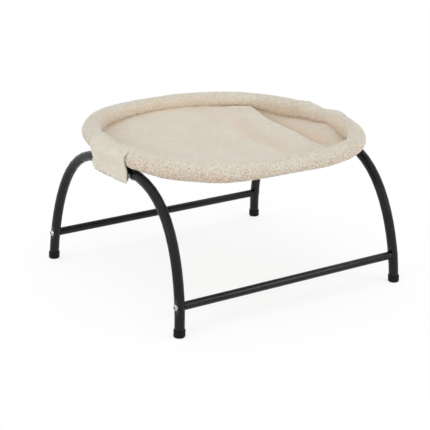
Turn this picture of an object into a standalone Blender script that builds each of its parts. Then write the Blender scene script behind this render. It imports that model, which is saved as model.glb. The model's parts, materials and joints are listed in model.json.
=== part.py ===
"""Cat hammock bed: a round fleece hammock on a padded hoop, laid over two bent-tube arches.

Metres, +Z up. The origin is the middle of the footprint, on the floor. The two
crossbars run along X and the two arches along Y. The front is towards -Y.
"""

import math

import bmesh
import bpy
import numpy as np
from mathutils import Matrix, Vector

# Overall sizes and the clearance between pieces that touch
LENGTH = 0.446
DEPTH = 0.416
HEIGHT = 0.255
FIT_GAP = 0.0003
CUT_OVERRUN = 0.004

# Arch: one bent steel tube on each side
LEG_DIAMETER = 0.0163
LEG_WALL = 0.0012
ARCH_SHOULDER_POWER = 3.27
ARCH_RISE_POWER = 1.92
ARCH_LEAN = 0.047
ARCH_SIDES = 16
ARCH_STATIONS = 30

# Flattened seat that a crossbar is screwed to
SEAT_HEIGHT = 0.047
SEAT_LENGTH = 0.0145
SEAT_RAMP = 0.008
SEAT_DEPTH = 0.0021
SEAT_SPREAD_SHARE = 0.04

# Crossbar with a threaded insert in each end
BAR_DIAMETER = 0.0133
BAR_WALL = 0.001
INSERT_LENGTH = 0.016
INSERT_RECESS = 0.0005
BAR_SIDES = 16

# Button-head screw with a hexagon socket
SCREW_LENGTH = 0.024
SCREW_DIAMETER = 0.0059
SCREW_TIP = 0.0006
SCREW_HOLE_PLAY = 0.0004
HEAD_DIAMETER = 0.0104
HEAD_HEIGHT = 0.0031
HEAD_EDGE = 0.0006
SOCKET_ACROSS = 0.004
SOCKET_DEPTH = 0.0018
SCREW_SIDES = 18

# Foot cap
CAP_DIAMETER = 0.0187
CAP_HEIGHT = 0.012
CAP_FLOOR = 0.003
CAP_ROUND = 0.0024
CAP_LIP = 0.0003

# Hoop, round in section, and how far its plan passes the arches' tops and their feet
RIM_PAST_TUBE = 0.00236
RIM_PAST_FOOT = 0.00605
RIM_POWER = 2.44
RIM_STATIONS = 48
HOOP_DIAMETER = 0.01
HOOP_WALL = 0.001
HOOP_SPIGOT = 0.022
HOOP_SIDES = 10

# Fleece roll, padded with foam, and the seam where the hammock meets it
ROLL_WIDTH = 0.031
ROLL_HEIGHT = 0.0285
FLEECE = 0.0024
SEAM_ANGLE = math.radians(223)
ROLL_POINTS = 13
BORE_POINTS = 9
PADDING_PLAY = 0.0004
PADDING_BORE_PLAY = 0.0008
PADDING_END = 0.001

# Hammock panel: how far it hangs, and two long folds, placed as shares of the hoop's half sizes
PANEL_SAG = 0.02
HEM_OUT = 0.0015
SPINE_PLACE_SHARE = 0.3
SPINE_LENGTH_SHARE = 0.55
PANEL_RING_SHARES = (0.08, 0.15, 0.21, 0.27, 0.33, 0.39, 0.47, 0.6, 0.74, 0.87)
MAIN_FOLD_RISE = 0.009
MAIN_FOLD_SHARES = ((0.6, -0.56), (0.69, 0.75))
SMALL_FOLD_RISE = 0.0035
SMALL_FOLD_SHARES = ((0.17, -0.45), (0.33, 0.4))
FOLD_APPROACH = 0.045
FOLD_DROP = 0.016
FOLD_DIP_SHARE = 3

# Flap that hangs over the arch tube, and the hook tape inside it
FLAP_WIDTH = 0.09
FLAP_BELOW_TUBE = 0.0084
FLAP_TOP_ANGLE = math.radians(60)
FLAP_LEAVE_ANGLE = math.radians(-35)
FLAP_CORNER = 0.006
HOOK_TAPE = 0.0012
HOOK_TAPE_WIDTH = 0.091
HOOK_TAPE_LENGTH = 0.019

# Strap that goes under the arch tube, and its end that the hook tape grips
STRAP = 0.0015
STRAP_WIDTH = 0.088
STRAP_PLAY = 0.0005
STRAP_HINGE_GAP = 0.0008
STRAP_SPLIT_ANGLE = math.radians(-60)
STRAP_END_ANGLE = math.radians(8)

# Values worked out from the sizes above
LEG_RADIUS = LEG_DIAMETER / 2
FLAT_HALF = LEG_RADIUS - SEAT_DEPTH
FOOT_HALF_X = (LENGTH - CAP_DIAMETER) / 2
FOOT_HALF_Y = (DEPTH - CAP_DIAMETER) / 2
ROLL_HALF_WIDTH = ROLL_WIDTH / 2
ROLL_HALF_HEIGHT = ROLL_HEIGHT / 2
ROLL_Z = HEIGHT - ROLL_HALF_HEIGHT
ARCH_APEX = HEIGHT - ROLL_HEIGHT - FIT_GAP - LEG_RADIUS
TUBE_START = CAP_FLOOR + FIT_GAP
SEAT_X = FOOT_HALF_X - ARCH_LEAN * SEAT_HEIGHT
TUBE_X = FOOT_HALF_X - ARCH_LEAN * ARCH_APEX
RIM_HALF_X = TUBE_X + RIM_PAST_TUBE
RIM_HALF_Y = FOOT_HALF_Y + RIM_PAST_FOOT
FLAP_BOTTOM = ARCH_APEX - LEG_RADIUS - FLAP_BELOW_TUBE
BAR_HALF = SEAT_X - FLAT_HALF - FIT_GAP
SHARP_ANGLE = math.radians(40)
FINE_STEPS = 720
SIDES = {"left": -1, "right": 1}
ENDS = {"front": -1, "back": 1}


def clear_scene():
    for obj in list(bpy.data.objects):
        bpy.data.objects.remove(obj, do_unlink=True)


def make_material(name, colour, roughness, metallic=0.0):
    material = bpy.data.materials.new(name)
    material.use_nodes = True
    shader = material.node_tree.nodes["Principled BSDF"]
    shader.inputs["Base Color"].default_value = (*colour, 1.0)
    shader.inputs["Roughness"].default_value = roughness
    shader.inputs["Metallic"].default_value = metallic
    return material


def add_piece(name, bm, material, origin=(0.0, 0.0, 0.0)):
    """Turns a bmesh into a named object with its origin at the given point."""
    bmesh.ops.recalc_face_normals(bm, faces=bm.faces)
    bmesh.ops.translate(bm, verts=bm.verts, vec=-Vector(origin))
    mesh = bpy.data.meshes.new(name)
    bm.to_mesh(mesh)
    bm.free()
    mesh.materials.append(material)
    mesh.shade_smooth()
    mesh.set_sharp_from_angle(angle=SHARP_ANGLE)
    obj = bpy.data.objects.new(name, mesh)
    obj.location = origin
    bpy.context.scene.collection.objects.link(obj)
    return obj


def loft(bm, rings, closed=False, capped=True):
    """Skins a run of equal rings. A closed run meets itself, an open one is capped."""
    made = [[bm.verts.new(point) for point in ring] for ring in rings]
    sides = len(made[0])
    pairs = list(zip(made, made[1:]))
    if closed:
        pairs.append((made[-1], made[0]))
    for near, far in pairs:
        for k in range(sides):
            after = (k + 1) % sides
            bm.faces.new((near[k], near[after], far[after], far[k]))
    if capped and not closed:
        bm.faces.new(made[0])
        bm.faces.new(made[-1])
    return made


def close_end(bm, outer, inner):
    """Fills a tube's end between an outer ring and an inner ring of half as many points."""
    for k in range(len(inner)):
        after = (k + 1) % len(inner)
        middle = outer[2 * k + 1]
        bm.faces.new((outer[2 * k], middle, inner[k]))
        bm.faces.new((middle, inner[after], inner[k]))
        bm.faces.new((middle, outer[(2 * k + 2) % len(outer)], inner[after]))


def circle_turns(count):
    return [2 * math.pi * k / count for k in range(count)]


def signed_power(value, power):
    return math.copysign(abs(value) ** power, value)


def evenly_spaced(points, count):
    """The given number of points at equal steps along a finely divided line."""
    points = np.array(points)
    steps = np.linalg.norm(np.diff(points, axis=0), axis=1)
    run = np.concatenate([[0.0], np.cumsum(steps)])
    marks = np.linspace(0.0, run[-1], count)
    return [Vector([float(np.interp(mark, run, column)) for column in points.T]) for mark in marks]


def mix_rings(first, second, share):
    return [a.lerp(b, share) for a, b in zip(first, second)]


def leg_offset(z):
    """Half the distance between an arch's legs, centre to centre, at a height."""
    return FOOT_HALF_Y * (1 - (z / ARCH_APEX) ** ARCH_RISE_POWER) ** (1 / ARCH_SHOULDER_POWER)


def arch_height(y):
    """Height of an arch's centreline over a place along Y."""
    return ARCH_APEX * (1 - (abs(y) / FOOT_HALF_Y) ** ARCH_SHOULDER_POWER) ** (1 / ARCH_RISE_POWER)


def arch_point(side, y, z):
    return Vector((side * (FOOT_HALF_X - ARCH_LEAN * z), y, z))


def pinch_at(z):
    """1 on the flattened seat, falling to 0 at the ends of its ramps."""
    past = abs(z - SEAT_HEIGHT) - SEAT_LENGTH / 2
    return min(max(1 - past / SEAT_RAMP, 0.0), 1.0)


def arch_stations(side):
    """Centreline points from the front foot, over the top, to the back foot."""
    half_seat = SEAT_LENGTH / 2
    heights = [TUBE_START, CAP_HEIGHT]
    heights += [SEAT_HEIGHT + step for step in (-half_seat - SEAT_RAMP, -half_seat, 0.0, half_seat)]
    top_of_seat = SEAT_HEIGHT + half_seat + SEAT_RAMP
    first_turn = math.asin((top_of_seat / ARCH_APEX) ** (ARCH_RISE_POWER / 2))
    fine = []
    for k in range(FINE_STEPS + 1):
        turn = first_turn + (math.pi - 2 * first_turn) * k / FINE_STEPS
        y = -FOOT_HALF_Y * signed_power(math.cos(turn), 2 / ARCH_SHOULDER_POWER)
        z = ARCH_APEX * math.sin(turn) ** (2 / ARCH_RISE_POWER)
        fine.append(arch_point(side, y, z))
    front = [arch_point(side, -leg_offset(z), z) for z in heights]
    back = [arch_point(side, leg_offset(z), z) for z in reversed(heights)]
    return front + evenly_spaced(fine, ARCH_STATIONS) + back


def arch_ring(side, stations, index, radius, sides):
    """Ring of the tube at a station, pressed flat across the crossbar's seat."""
    centre = stations[index]
    if index < 2 or index > len(stations) - 3:
        along = Vector((0.0, 0.0, 1.0 if index < 2 else -1.0))
        across = Vector((1.0, 0.0, 0.0))
    else:
        along = (stations[index + 1] - stations[index - 1]).normalized()
        across = Vector((1.0, 0.0, side * ARCH_LEAN)).normalized()
    sideways = along.cross(across)
    pinch = pinch_at(centre.z)
    middle = centre.x + (side * SEAT_X - centre.x) * pinch
    half = radius - SEAT_DEPTH * pinch
    ring = []
    for turn in circle_turns(sides):
        spread = 1 + SEAT_SPREAD_SHARE * pinch
        point = centre + radius * (math.cos(turn) * across + math.sin(turn) * spread * sideways)
        if pinch > 0:
            point.x = min(max(point.x, middle - half), middle + half)
        ring.append(point)
    return ring


def add_arch(name, side, steel):
    stations = arch_stations(side)
    count = len(stations)
    bm = bmesh.new()
    outer = [arch_ring(side, stations, k, LEG_RADIUS, ARCH_SIDES) for k in range(count)]
    inner = [arch_ring(side, stations, k, LEG_RADIUS - LEG_WALL, ARCH_SIDES // 2) for k in range(count)]
    outer_rings = loft(bm, outer, capped=False)
    inner_rings = loft(bm, inner, capped=False)
    close_end(bm, outer_rings[0], inner_rings[0])
    close_end(bm, outer_rings[-1], inner_rings[-1])
    arch = add_piece(name, bm, steel)
    cutter_bm = bmesh.new()
    for end in ENDS.values():
        place = Matrix.Translation((side * SEAT_X, end * leg_offset(SEAT_HEIGHT), SEAT_HEIGHT))
        hole = SCREW_DIAMETER / 2 + SCREW_HOLE_PLAY
        bmesh.ops.create_cone(
            cutter_bm,
            cap_ends=True,
            segments=ARCH_SIDES,
            radius1=hole,
            radius2=hole,
            depth=LEG_DIAMETER + 2 * CUT_OVERRUN,
            matrix=place @ Matrix.Rotation(math.pi / 2, 4, "Y"),
        )
    cutter = add_piece(name + "_screw_holes", cutter_bm, steel)
    cutter.hide_render = True
    cutter.display_type = "WIRE"
    cut = arch.modifiers.new("screw_holes", "BOOLEAN")
    cut.operation = "DIFFERENCE"
    cut.object = cutter


def ring_across_x(x, y, z, radius, sides, reach=None):
    """Ring round an axis along X. A reach function may change the radius with the turn."""
    points = []
    for turn in circle_turns(sides):
        size = reach(turn) if reach else radius
        points.append(Vector((x, y + size * math.cos(turn), z + size * math.sin(turn))))
    return points


def add_crossbar(name, end, steel):
    y = end * leg_offset(SEAT_HEIGHT)
    outer = BAR_DIAMETER / 2
    bore = outer - BAR_WALL
    corners = [(-BAR_HALF, outer), (BAR_HALF, outer), (BAR_HALF, bore), (-BAR_HALF, bore)]
    bm = bmesh.new()
    loft(bm, [ring_across_x(x, y, SEAT_HEIGHT, radius, BAR_SIDES) for x, radius in corners], closed=True)
    add_piece(name, bm, steel)


def add_bar_insert(name, side, end, material):
    """Threaded plug pressed into the end of a crossbar. Its bore takes the screw."""
    y = end * leg_offset(SEAT_HEIGHT)
    face = side * (BAR_HALF - INSERT_RECESS)
    back = face - side * INSERT_LENGTH
    outer = BAR_DIAMETER / 2 - BAR_WALL - FIT_GAP
    bore = SCREW_DIAMETER / 2 + FIT_GAP
    corners = [(back, outer), (face, outer), (face, bore), (back, bore)]
    bm = bmesh.new()
    loft(bm, [ring_across_x(x, y, SEAT_HEIGHT, radius, BAR_SIDES) for x, radius in corners], closed=True)
    add_piece(name, bm, material)


def socket_reach(turn):
    """Distance from the screw's axis to the wall of its hexagon socket."""
    sixth = math.pi / 3
    return SOCKET_ACROSS / 2 / math.cos((turn + sixth / 2) % sixth - sixth / 2)


def add_screw(name, side, end, material):
    """Button-head screw through the flattened leg into the crossbar's insert."""
    y = end * leg_offset(SEAT_HEIGHT)
    seat = SEAT_X + FLAT_HALF + FIT_GAP
    shank = SCREW_DIAMETER / 2
    head = HEAD_DIAMETER / 2
    socket_corner = SOCKET_ACROSS / math.sqrt(3)
    crown = (head + socket_corner) / 2
    profile = [
        (seat - SCREW_LENGTH, shank - SCREW_TIP),
        (seat - SCREW_LENGTH + SCREW_TIP, shank),
        (seat, shank),
        (seat, head),
        (seat + HEAD_EDGE, head),
        (seat + HEAD_HEIGHT - HEAD_EDGE, crown),
        (seat + HEAD_HEIGHT, socket_corner + HEAD_EDGE / 2),
    ]
    rings = [ring_across_x(side * x, y, SEAT_HEIGHT, radius, SCREW_SIDES) for x, radius in profile]
    for x in (seat + HEAD_HEIGHT, seat + HEAD_HEIGHT - SOCKET_DEPTH):
        rings.append(ring_across_x(side * x, y, SEAT_HEIGHT, None, SCREW_SIDES, socket_reach))
    bm = bmesh.new()
    loft(bm, rings)
    add_piece(name, bm, material)


def level_ring(centre, z, radius, sides):
    return [
        Vector((centre.x + radius * math.cos(turn), centre.y + radius * math.sin(turn), z))
        for turn in circle_turns(sides)
    ]


def add_foot_cap(name, side, end, material):
    """Cup over the end of a leg, with a rounded lower edge, that follows the leg's lean."""
    outer = CAP_DIAMETER / 2
    bore = LEG_RADIUS + FIT_GAP
    profile = []
    for turn in (0.0, math.pi / 6, math.pi / 3, math.pi / 2):
        profile.append((outer - CAP_ROUND * (1 - math.sin(turn)), CAP_ROUND * (1 - math.cos(turn))))
    profile += [(outer, CAP_HEIGHT - CAP_LIP), (outer - CAP_LIP, CAP_HEIGHT)]
    profile += [(bore, CAP_HEIGHT), (bore, CAP_FLOOR)]
    rings = []
    for radius, z in profile:
        level = max(z, TUBE_START)
        rings.append(level_ring(arch_point(side, end * leg_offset(level), level), z, radius, ARCH_SIDES))
    bm = bmesh.new()
    loft(bm, rings)
    add_piece(name, bm, material)


def rim_stations():
    """Centre and outward direction of each station round the hoop, from +X by way of +Y."""
    fine = []
    for k in range(FINE_STEPS + 1):
        turn = 2 * math.pi * k / FINE_STEPS
        x = RIM_HALF_X * signed_power(math.cos(turn), 2 / RIM_POWER)
        y = RIM_HALF_Y * signed_power(math.sin(turn), 2 / RIM_POWER)
        fine.append((x, y, ROLL_Z))
    centres = evenly_spaced(fine, RIM_STATIONS + 1)[:-1]
    stations = []
    for k, centre in enumerate(centres):
        along = centres[(k + 1) % RIM_STATIONS] - centres[k - 1]
        stations.append((centre, Vector((along.y, -along.x, 0.0)).normalized()))
    return stations


def rim_ring(stations, index, points):
    """Places section points, given as outward and upward distances, at a station."""
    centre, outward = stations[index % RIM_STATIONS]
    return [centre + out * outward + Vector((0.0, 0.0, up)) for out, up in points]


def oval_arc(half_width, half_height, slit, count):
    """Points round an oval from one lip of the slit at the seam to the other."""
    stretch = math.hypot(half_width * math.sin(SEAM_ANGLE), half_height * math.cos(SEAM_ANGLE))
    lip = slit / 2 / stretch
    turns = [SEAM_ANGLE + lip + (2 * math.pi - 2 * lip) * k / (count - 1) for k in range(count)]
    return [(half_width * math.cos(turn), half_height * math.sin(turn)) for turn in turns]


def seam_point():
    """The seam on the roll's section, and the direction square to the roll there."""
    place = Vector((ROLL_HALF_WIDTH * math.cos(SEAM_ANGLE), ROLL_HALF_HEIGHT * math.sin(SEAM_ANGLE)))
    square = Vector((math.cos(SEAM_ANGLE) / ROLL_HALF_WIDTH, math.sin(SEAM_ANGLE) / ROLL_HALF_HEIGHT))
    return place, square.normalized()


def add_rim_sleeve(stations, fleece):
    """Fleece sleeve round the padding, open along the seam where the panel's hem goes in."""
    slit = FLEECE + 2 * FIT_GAP
    skin = oval_arc(ROLL_HALF_WIDTH, ROLL_HALF_HEIGHT, slit, ROLL_POINTS)
    lining = oval_arc(ROLL_HALF_WIDTH - FLEECE, ROLL_HALF_HEIGHT - FLEECE, slit, ROLL_POINTS)
    section = skin + lining[::-1]
    bm = bmesh.new()
    loft(bm, [rim_ring(stations, k, section) for k in range(RIM_STATIONS)], closed=True)
    add_piece("fleece_rim_sleeve", bm, fleece)


def add_padding(name, first, stations, foam):
    """Half a foam ring, slit along its length so that it can be put over the hoop."""
    inset = FLEECE + PADDING_PLAY
    slit = FLEECE + 2 * FIT_GAP
    skin = oval_arc(ROLL_HALF_WIDTH - inset, ROLL_HALF_HEIGHT - inset, slit, ROLL_POINTS)
    bore_radius = HOOP_DIAMETER / 2 + PADDING_BORE_PLAY
    bore = oval_arc(bore_radius, bore_radius, slit, BORE_POINTS)
    section = skin + bore[::-1]
    last = first + RIM_STATIONS // 2
    rings = [rim_ring(stations, k, section) for k in range(first, last + 1)]
    step = (stations[1][0] - stations[0][0]).length
    share = PADDING_END / step
    ends = mix_rings(rings[0], rings[1], share), mix_rings(rings[-1], rings[-2], share)
    rings[0], rings[-1] = ends
    bm = bmesh.new()
    loft(bm, rings)
    add_piece(name, bm, foam)


def add_hoop_half(name, first, stations, steel):
    """Half the hoop. The drawn-down spigot on one end plugs into the other half's open end."""
    body = HOOP_DIAMETER / 2
    bore = body - HOOP_WALL
    spigot = bore - FIT_GAP
    spigot_bore = spigot - HOOP_WALL
    last = first + RIM_STATIONS // 2
    step = (stations[1][0] - stations[0][0]).length

    def ring(index, radius):
        section = [(radius * math.cos(turn), radius * math.sin(turn)) for turn in circle_turns(HOOP_SIDES)]
        return rim_ring(stations, index, section)

    def part_way(index, towards, distance, radius):
        return mix_rings(ring(index, radius), ring(towards, radius), distance / step)

    shoulder = FIT_GAP / 2
    rings = [
        part_way(first, first - 1, HOOP_SPIGOT, spigot),
        part_way(first, first + 1, shoulder, spigot),
        part_way(first, first + 1, shoulder, body),
    ]
    rings += [ring(k, body) for k in range(first + 1, last)]
    rings += [part_way(last, last - 1, shoulder, body), part_way(last, last - 1, shoulder, bore)]
    rings += [ring(k, bore) for k in range(last - 1, first, -1)]
    rings += [
        part_way(first, first + 1, shoulder + 2 * HOOP_WALL, bore),
        part_way(first, first + 1, shoulder + HOOP_WALL, spigot_bore),
        part_way(first, first - 1, HOOP_SPIGOT, spigot_bore),
    ]
    bm = bmesh.new()
    loft(bm, rings, closed=True)
    add_piece(name, bm, steel)


def fold_height(x, y, shares, rise):
    """A ridge along a line, gentle on its left. Its right side drops steeply into a valley."""
    start, end = (Vector((RIM_HALF_X * across, RIM_HALF_Y * back)) for across, back in shares)
    line = end - start
    place = Vector((x, y)) - start
    run = place.dot(line) / line.length_squared
    beside = place.cross(line) / line.length
    fade = math.exp(-4 * (run - 0.5) ** 2)
    if beside < 0:
        return rise * fade * math.exp(-((beside / FOLD_APPROACH) ** 2))
    beside /= FOLD_DROP
    return rise * fade * (1 - FOLD_DIP_SHARE * beside) * math.exp(-(beside**2))


def panel_drop(x, y, grip):
    """How far the panel hangs below its seam. The grip falls from 1 at the seam to 0."""
    inset = seam_point()[0].x
    spread = (abs(x) / (RIM_HALF_X + inset)) ** RIM_POWER + (abs(y) / (RIM_HALF_Y + inset)) ** RIM_POWER
    bowl = PANEL_SAG * (1 - min(spread ** (1 / RIM_POWER), 1.0) ** 2)
    folds = fold_height(x, y, MAIN_FOLD_SHARES, MAIN_FOLD_RISE)
    folds += fold_height(x, y, SMALL_FOLD_SHARES, SMALL_FOLD_RISE)
    return bowl - folds * (1 - grip)


def panel_mid_surface(stations):
    """Middle of the panel's cloth: rings from the hem inside the sleeve to a short spine.

    The spine runs beside the main fold, so that the rings lie along the fold and close together.
    """
    place, square = seam_point()
    tucked = place - square * FLEECE
    outside = place + square * HEM_OUT
    hem = [rim_ring(stations, k, [tucked, outside]) for k in range(RIM_STATIONS)]
    surface = [[row[0] for row in hem], [row[1] for row in hem]]
    seam_z = hem[0][1].z
    for share in (*PANEL_RING_SHARES, 1.0):
        ring = []
        for row in hem:
            spine = Vector((RIM_HALF_X * SPINE_PLACE_SHARE, row[1].y * SPINE_LENGTH_SHARE, seam_z))
            point = row[1].lerp(spine, share)
            point.z = seam_z - panel_drop(point.x, point.y, (1 - share) ** 4)
            ring.append(point)
        surface.append(ring)
    return surface


def across_station(k):
    """Stations level with each other across the bed share one point of the spine."""
    quarter = RIM_STATIONS // 4
    return (2 * quarter - k) % RIM_STATIONS if quarter < k < 3 * quarter else k


def add_panel(stations, fleece):
    """Slack fleece panel. Its hem sits in the sleeve's slit."""
    surface = panel_mid_surface(stations)
    bm = bmesh.new()
    last = loft(bm, surface[:-1], capped=False)[-1]
    spine = {k: bm.verts.new(point) for k, point in enumerate(surface[-1]) if across_station(k) == k}
    for k in range(RIM_STATIONS):
        after = (k + 1) % RIM_STATIONS
        bm.faces.new((last[k], last[after], spine[across_station(after)], spine[across_station(k)]))
    panel = add_piece("fleece_panel", bm, fleece)
    cloth = panel.modifiers.new("cloth_thickness", "SOLIDIFY")
    cloth.thickness = FLEECE
    cloth.offset = 0.0


def thicken(path, thickness):
    """Closed outline round a path of (out, z) points, half the thickness to each side."""
    left, right = [], []
    for k, point in enumerate(path):
        along = (path[min(k + 1, len(path) - 1)] - path[max(k - 1, 0)]).normalized()
        square = Vector((-along.y, along.x)) * thickness / 2
        left.append(point + square)
        right.append(point - square)
    return left + right[::-1]


def side_ring(side, y, outline):
    return [Vector((side * out, y, z)) for out, z in outline]


def flap_stack():
    """Distances out from the middle of the bed to the tape's and the flap's mid-planes."""
    strap_face = TUBE_X + LEG_RADIUS + STRAP_PLAY + STRAP
    tape = strap_face + FIT_GAP + HOOK_TAPE / 2
    return tape, tape + HOOK_TAPE / 2 + FIT_GAP + FLEECE / 2


def flap_path(bottom):
    """From the roll's upper outside, round the roll and straight down past the tube."""
    off = FIT_GAP + FLEECE / 2
    steps = 8
    path = []
    for k in range(steps + 1):
        turn = FLAP_TOP_ANGLE + (FLAP_LEAVE_ANGLE - FLAP_TOP_ANGLE) * k / steps
        out = RIM_HALF_X + (ROLL_HALF_WIDTH + off) * math.cos(turn)
        path.append(Vector((out, ROLL_Z + (ROLL_HALF_HEIGHT + off) * math.sin(turn))))
    hanging = flap_stack()[1]
    knee = ROLL_Z - ROLL_HEIGHT * 2 / 3
    path.append(Vector((hanging, knee)))
    path.append(Vector((hanging, (knee + bottom) / 2)))
    path.append(Vector((hanging, bottom)))
    return path


def flap_hinge(side):
    """Inner corner of the flap's upper edge, where it is sewn to the roll."""
    out = RIM_HALF_X + (ROLL_HALF_WIDTH + FIT_GAP) * math.cos(FLAP_TOP_ANGLE)
    return Vector((side * out, 0.0, ROLL_Z + (ROLL_HALF_HEIGHT + FIT_GAP) * math.sin(FLAP_TOP_ANGLE)))


def add_flap(name, side, fleece):
    """Fleece flap with rounded lower corners, hinged where it is sewn to the roll."""
    corner = []
    for turn in (0.0, math.pi / 4, math.pi / 2):
        y = FLAP_WIDTH / 2 - FLAP_CORNER * (1 - math.cos(turn))
        corner.append((y, FLAP_BOTTOM + FLAP_CORNER * (1 - math.sin(turn))))
    rings = []
    for y, bottom in [(-y, bottom) for y, bottom in corner] + corner[::-1]:
        rings.append(side_ring(side, y, thicken(flap_path(bottom), FLEECE)))
    bm = bmesh.new()
    loft(bm, rings)
    add_piece(name, bm, fleece, origin=flap_hinge(side))


def add_hook_tape(name, side, material):
    """Hook tape sewn to the inside of the flap, over the strap's end."""
    out = flap_stack()[0]
    path = [Vector((out, FLAP_BOTTOM + HOOK_TAPE + z)) for z in (HOOK_TAPE_LENGTH, 0.0)]
    half = HOOK_TAPE_WIDTH / 2
    bm = bmesh.new()
    loft(bm, [side_ring(side, y, thicken(path, HOOK_TAPE)) for y in (-half, half)])
    add_piece(name, bm, material, origin=flap_hinge(side))


def strap_arc(y, first, last, steps):
    """Points on the strap's middle round the underside of the tube, by angle."""
    radius = LEG_RADIUS + STRAP_PLAY + STRAP / 2
    turns = [first + (last - first) * k / steps for k in range(steps + 1)]
    return [Vector((TUBE_X + radius * math.cos(t), arch_height(y) + radius * math.sin(t))) for t in turns]


def strap_rings(side, path_at):
    half = STRAP_WIDTH / 2
    places = [half * k / 3 for k in range(-3, 4)]
    return [side_ring(side, y, thicken(path_at(y), STRAP)) for y in places]


def add_strap(name, side, material):
    """Strap sewn under the roll by the seam. It goes down inside the tube and under it."""
    place, square = seam_point()
    top = ROLL_Z + place.y + square.y * HEM_OUT - FLEECE

    def path_at(y):
        under = strap_arc(y, -math.pi, STRAP_SPLIT_ANGLE, 6)
        return [Vector((under[0].x, top))] + under

    bm = bmesh.new()
    loft(bm, strap_rings(side, path_at))
    add_piece(name, bm, material)


def strap_end_hinge(side):
    """Outer corner of the strap at its split, where the arch is lowest under it."""
    radius = LEG_RADIUS + STRAP_PLAY + STRAP
    out = TUBE_X + radius * math.cos(STRAP_SPLIT_ANGLE)
    lowest = arch_height(STRAP_WIDTH / 2)
    return Vector((side * out, 0.0, lowest + radius * math.sin(STRAP_SPLIT_ANGLE)))


def add_strap_end(name, side, material):
    """Last stretch of the strap, up the outside of the tube. It opens with the flap."""
    gap_angle = STRAP_HINGE_GAP / (LEG_RADIUS + STRAP_PLAY)
    bm = bmesh.new()
    loft(bm, strap_rings(side, lambda y: strap_arc(y, STRAP_SPLIT_ANGLE + gap_angle, STRAP_END_ANGLE, 4)))
    add_piece(name, bm, material, origin=strap_end_hinge(side))


def build():
    clear_scene()
    black_steel = make_material("black_steel", (0.012, 0.013, 0.014), 0.35, 0.3)
    zinc = make_material("zinc_screw", (0.75, 0.76, 0.78), 0.25, 1.0)
    insert_nylon = make_material("insert_nylon", (0.05, 0.05, 0.05), 0.5)
    cap_rubber = make_material("cap_rubber", (0.015, 0.015, 0.016), 0.6)
    hoop_steel = make_material("hoop_steel", (0.45, 0.46, 0.48), 0.35, 1.0)
    foam = make_material("padding_foam", (0.8, 0.8, 0.78), 0.9)
    fleece = make_material("cream_fleece", (0.78, 0.71, 0.6), 0.95)
    hook = make_material("hook_tape", (0.012, 0.012, 0.013), 0.8)
    webbing = make_material("strap_webbing", (0.16, 0.16, 0.17), 0.6)

    for side_name, side in SIDES.items():
        add_arch(f"arch_{side_name}", side, black_steel)
        for end_name, end in ENDS.items():
            corner = f"{end_name}_{side_name}"
            add_foot_cap(f"foot_cap_{corner}", side, end, cap_rubber)
            add_bar_insert(f"bar_insert_{corner}", side, end, insert_nylon)
            add_screw(f"bar_screw_{corner}", side, end, zinc)
    for end_name, end in ENDS.items():
        add_crossbar(f"crossbar_{end_name}", end, black_steel)

    stations = rim_stations()
    half_ring = RIM_STATIONS // 2
    for end_name, first in (("back", 0), ("front", half_ring)):
        add_hoop_half(f"hoop_half_{end_name}", first, stations, hoop_steel)
        add_padding(f"rim_padding_{end_name}", first, stations, foam)
    add_rim_sleeve(stations, fleece)
    add_panel(stations, fleece)

    for side_name, side in SIDES.items():
        add_flap(f"flap_{side_name}", side, fleece)
        add_hook_tape(f"hook_tape_{side_name}", side, hook)
        add_strap(f"tube_strap_{side_name}", side, webbing)
        add_strap_end(f"strap_end_{side_name}", side, webbing)


build()
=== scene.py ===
# %% [markdown]
# # Dressing a cat hammock bed
# The bed is a round fleece hammock on a padded hoop. It lies over two bent steel tubes, and two
# flaps close round them. Its solids are made already, so this lesson only dresses them:
# it loads them as a fixed frame, gives the hard pieces their finishes, and models the fleece, the
# flaps, the tapes and the straps again as the soft things that they are.

# %% Load the frame
import json
import math

import bmesh
import bpy
import numpy as np
from mathutils import Matrix, Vector, noise

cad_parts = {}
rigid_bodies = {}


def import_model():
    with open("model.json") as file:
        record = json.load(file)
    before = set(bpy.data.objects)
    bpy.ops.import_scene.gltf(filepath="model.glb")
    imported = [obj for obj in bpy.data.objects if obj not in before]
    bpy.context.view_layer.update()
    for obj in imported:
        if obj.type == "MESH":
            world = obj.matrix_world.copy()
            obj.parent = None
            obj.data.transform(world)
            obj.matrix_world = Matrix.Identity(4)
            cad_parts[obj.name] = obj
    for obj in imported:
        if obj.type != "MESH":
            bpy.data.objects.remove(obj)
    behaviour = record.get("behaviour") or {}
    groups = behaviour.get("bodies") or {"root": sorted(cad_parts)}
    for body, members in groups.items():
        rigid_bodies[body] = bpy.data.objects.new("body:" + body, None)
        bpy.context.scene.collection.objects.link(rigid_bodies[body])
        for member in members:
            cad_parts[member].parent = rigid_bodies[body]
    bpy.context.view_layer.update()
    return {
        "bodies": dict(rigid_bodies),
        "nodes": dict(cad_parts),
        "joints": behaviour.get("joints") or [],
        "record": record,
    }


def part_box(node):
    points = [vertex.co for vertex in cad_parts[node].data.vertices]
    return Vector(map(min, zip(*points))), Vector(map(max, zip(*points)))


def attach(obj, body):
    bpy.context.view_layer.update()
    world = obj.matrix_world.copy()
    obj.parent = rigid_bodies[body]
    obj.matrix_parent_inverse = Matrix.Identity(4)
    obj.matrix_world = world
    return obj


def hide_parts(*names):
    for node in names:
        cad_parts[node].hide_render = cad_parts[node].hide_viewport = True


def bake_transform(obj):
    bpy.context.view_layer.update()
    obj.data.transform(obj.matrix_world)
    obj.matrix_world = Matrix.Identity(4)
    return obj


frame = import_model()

# %% [markdown]
# ## Sizes that the soft pieces share
# The hoop's plan is a superellipse, a circle pressed a little towards a square, because the slack
# panel pulls it straighter between its four corners. Everything soft hangs on that line. The roll
# is an oval round it, and the panel's seam runs along the oval's lower inner side.

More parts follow.
